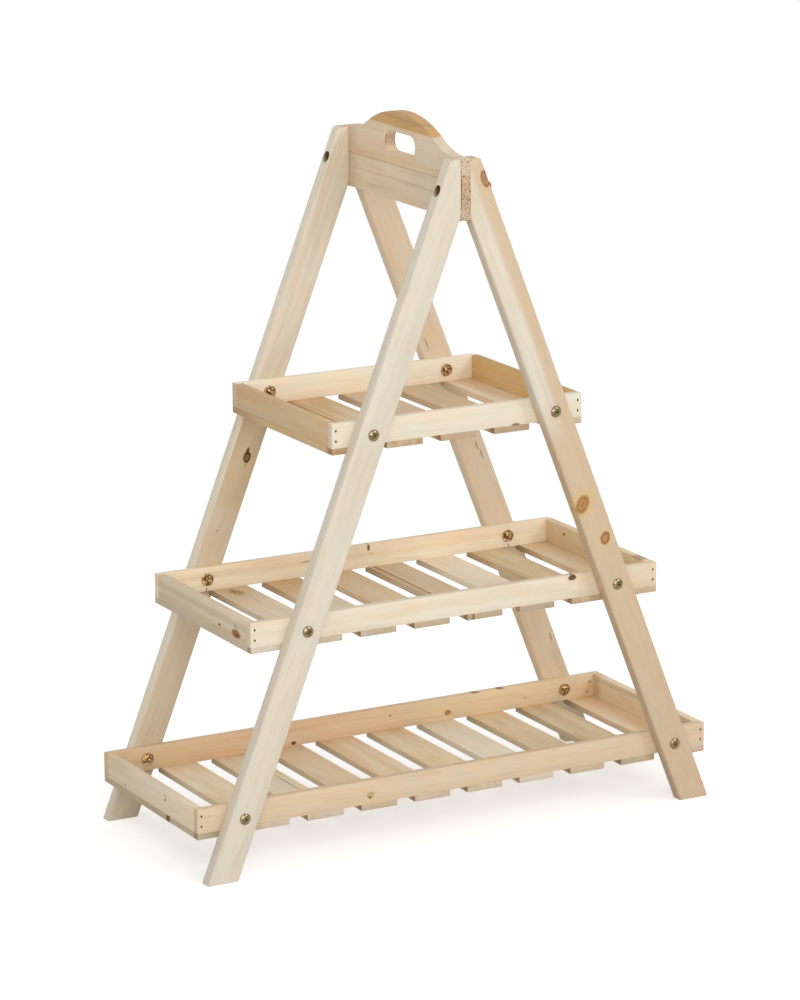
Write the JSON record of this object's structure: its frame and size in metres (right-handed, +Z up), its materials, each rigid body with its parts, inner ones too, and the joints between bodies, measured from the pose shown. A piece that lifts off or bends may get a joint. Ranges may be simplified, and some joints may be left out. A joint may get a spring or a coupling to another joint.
{
  "type": "plant ladder stand",
  "caption": "Wooden plant ladder stand: slatted trays of growing length bolted between leaning legs, under a top board with a hand hole.",
  "frame": {"origin": "on the floor, under the middle of the stand", "axes": "+X along the trays to the right, +Y to the back, +Z up"},
  "size_m": [0.783, 0.3328, 0.9665],
  "materials": {
    "leg_timber": "planed and sanded fir, unfinished",
    "handle_timber": "planed and sanded fir, unfinished",
    "rail_timber": "planed and sanded fir, unfinished",
    "end_board_timber": "planed and sanded fir, unfinished",
    "slat_timber": "planed and sanded fir, unfinished",
    "bolt_steel": "yellow zinc plated",
    "nut_steel": "yellow zinc plated",
    "nail_steel": "plain bright wire, dulled"
  },
  "bodies": {
    "root": {"front_left_leg": "leg_timber", "front_right_leg": "leg_timber", "back_left_leg": "leg_timber", "back_right_leg": "leg_timber", "handle_board": "handle_timber", "bottom_tray_front_rail": "rail_timber", "bottom_tray_back_rail": "rail_timber", "middle_tray_front_rail": "rail_timber", "middle_tray_back_rail": "rail_timber", "top_tray_front_rail": "rail_timber", "top_tray_back_rail": "rail_timber", "bottom_tray_left_end": "end_board_timber", "bottom_tray_right_end": "end_board_timber", "middle_tray_left_end": "end_board_timber", "middle_tray_right_end": "end_board_timber", "top_tray_left_end": "end_board_timber", "top_tray_right_end": "end_board_timber", "bottom_tray_slat_1": "slat_timber", "bottom_tray_slat_2": "slat_timber", "bottom_tray_slat_3": "slat_timber", "bottom_tray_slat_4": "slat_timber", "bottom_tray_slat_5": "slat_timber", "bottom_tray_slat_6": "slat_timber", "bottom_tray_slat_7": "slat_timber", "bottom_tray_slat_8": "slat_timber", "bottom_tray_slat_9": "slat_timber", "bottom_tray_slat_10": "slat_timber", "middle_tray_slat_1": "slat_timber", "middle_tray_slat_2": "slat_timber", "middle_tray_slat_3": "slat_timber", "middle_tray_slat_4": "slat_timber", "middle_tray_slat_5": "slat_timber", "middle_tray_slat_6": "slat_timber", "middle_tray_slat_7": "slat_timber", "middle_tray_slat_8": "slat_timber", "top_tray_slat_1": "slat_timber", "top_tray_slat_2": "slat_timber", "top_tray_slat_3": "slat_timber", "top_tray_slat_4": "slat_timber", "top_tray_slat_5": "slat_timber", "tray_bolts": "bolt_steel", "handle_bolts": "bolt_steel", "tray_washers": "nut_steel", "tray_nuts": "nut_steel", "handle_washers": "nut_steel", "handle_nuts": "nut_steel", "corner_nails": "nail_steel", "slat_nails": "nail_steel"}
  },
  "joints": []
}
